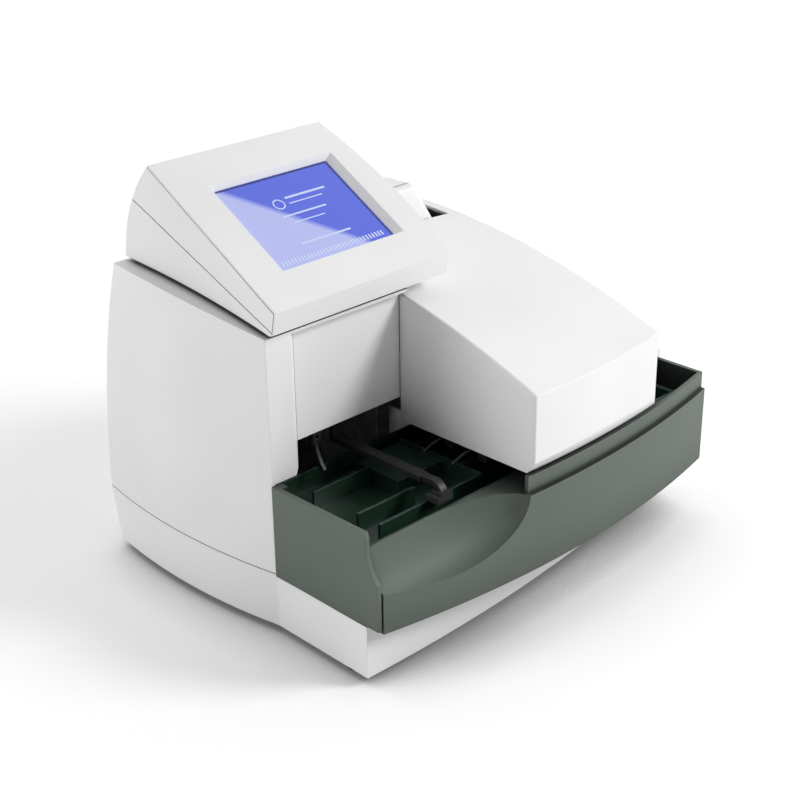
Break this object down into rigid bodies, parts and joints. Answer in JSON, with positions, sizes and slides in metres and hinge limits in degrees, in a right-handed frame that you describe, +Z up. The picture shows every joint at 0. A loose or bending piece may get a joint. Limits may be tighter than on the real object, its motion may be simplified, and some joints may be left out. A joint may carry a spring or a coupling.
{
  "type": "urine strip analyzer",
  "caption": "Bench-top urine strip analyzer with a tilted screen head on a left tower, a printer wing on the right and a green strip drawer that slides out at the front.",
  "frame": {"origin": "on the table, under the middle of the bounding box", "axes": "+X to the object's right as its user sees it, +Y to the back, +Z up; the drawer front and screen face -Y"},
  "size_m": [0.4388, 0.3696, 0.372],
  "materials": {
    "housing_white": "fine matte",
    "drawer_green": "satin",
    "tub_dark_green": "satin",
    "foot_rubber": "matte",
    "steel_sheet": "satin",
    "steel_round": "ground",
    "black_plastic": "matte",
    "pale_plastic": "matte",
    "motor_metal": "satin",
    "supply_case": "satin",
    "circuit_board": "lacquered",
    "display_module": "satin",
    "screen_blue": "gloss",
    "paper": "soft matte"
  },
  "bodies": {
    "housing": {"base_casing": "housing_white", "foot_front_left": "foot_rubber", "foot_front_right": "foot_rubber", "foot_rear_left": "foot_rubber", "foot_rear_right": "foot_rubber", "casing_screws": "steel_round", "upper_casing": "housing_white", "recess_panel": "housing_white", "optics_cover": "housing_white", "chassis_plate": "steel_sheet", "rear_panel": "steel_sheet", "inlet_socket": "black_plastic", "switch_frame": "black_plastic", "port_block": "circuit_board", "fan_frame": "black_plastic", "power_supply": "supply_case", "main_board": "circuit_board", "display_bezel": "housing_white", "display_side_shell": "housing_white", "display_base_shell": "housing_white", "screen_glass": "screen_blue", "lcd_module": "display_module", "display_board": "circuit_board", "drawer_channel_left": "steel_sheet", "drawer_channel_right": "steel_sheet", "pusher_rods": "steel_round", "pusher_bracket_left": "steel_sheet", "pusher_bracket_right": "steel_sheet", "pusher_motor": "motor_metal", "rake_rods": "steel_round", "lever_bracket": "pale_plastic", "optics_chassis": "steel_sheet", "scan_rods": "steel_round", "scan_motor": "motor_metal", "printer_cowl": "housing_white", "printer_frame": "black_plastic", "print_head": "black_plastic"},
    "drawer": {"tray_body": "tub_dark_green", "front_fascia": "drawer_green", "strip_platform": "tub_dark_green", "waste_box": "tub_dark_green", "drawer_runner_left": "steel_sheet", "drawer_runner_right": "steel_sheet"},
    "pusher": {"pusher_carriage": "pale_plastic", "pusher_arm": "black_plastic", "pusher_foot": "foot_rubber"},
    "pulley": {"pusher_pulley": "pale_plastic"},
    "rake": {"strip_rake": "black_plastic", "rake_fingers": "steel_round"},
    "optical_head": {"scan_carriage": "black_plastic", "lens_barrel": "black_plastic", "sensor_board": "circuit_board"},
    "lead_screw": {"scan_screw": "steel_round"},
    "lid": {"printer_lid": "housing_white"},
    "platen": {"platen_roller": "foot_rubber"},
    "paper": {"paper_roll": "paper", "paper_spindle": "black_plastic"},
    "rotor": {"fan_rotor": "black_plastic"},
    "rocker": {"power_rocker": "black_plastic"},
    "lever": {"strip_lever": "pale_plastic"}
  },
  "joints": [
    {"name": "drawer_slide", "type": "slide", "parent": "housing", "child": "drawer", "axis": [0, -1, 0], "range_m": [0, 0.1]},
    {"name": "pusher_slide", "type": "slide", "parent": "housing", "child": "pusher", "axis": [1, 0, 0], "range_m": [-0.026, 0.024]},
    {"name": "pulley_turn", "type": "hinge", "parent": "housing", "child": "pulley", "pos_m": [-0.189, 0.04335, 0.203], "axis": [1, 0, 0], "range_deg": [-260, 240]},
    {"name": "rake_slide", "type": "slide", "parent": "housing", "child": "rake", "axis": [1, 0, 0], "range_m": [0, 0.11]},
    {"name": "head_slide", "type": "slide", "parent": "housing", "child": "optical_head", "axis": [0, 1, 0], "range_m": [-0.034, 0.076]},
    {"name": "screw_turn", "type": "hinge", "parent": "housing", "child": "lead_screw", "pos_m": [0.016, -0.07215, 0.18], "axis": [0, 1, 0], "range_deg": [-640, 1400]},
    {"name": "lid_hinge", "type": "hinge", "parent": "housing", "child": "lid", "pos_m": [0.044, 0.12525, 0.26642], "axis": [-1, 0, 0], "range_deg": [0, 60]},
    {"name": "platen_turn", "type": "hinge", "parent": "lid", "child": "platen", "pos_m": [0.042, 0.09245, 0.28], "axis": [1, 0, 0], "continuous": true},
    {"name": "paper_turn", "type": "hinge", "parent": "housing", "child": "paper", "pos_m": [0.042, 0.10385, 0.2499], "axis": [1, 0, 0], "continuous": true},
    {"name": "fan_turn", "type": "hinge", "parent": "housing", "child": "rotor", "pos_m": [0.131, 0.15985, 0.103], "axis": [0, 1, 0], "continuous": true},
    {"name": "rocker_tip", "type": "hinge", "parent": "housing", "child": "rocker", "pos_m": [-0.118, 0.16685, 0.094], "axis": [1, 0, 0], "range_deg": [-12, 0]},
    {"name": "lever_swing", "type": "hinge", "parent": "housing", "child": "lever", "pos_m": [-0.149, -0.02785, 0.154], "axis": [1, 0, 0], "range_deg": [-20, 10], "stiffness_Nm_per_rad": 0.01}
  ],
  "couplings": [
    {"joint": "pulley_turn", "follows": "pusher_slide", "rad_per_m": 166.67},
    {"joint": "screw_turn", "follows": "head_slide", "rad_per_m": 314.16}
  ]
}
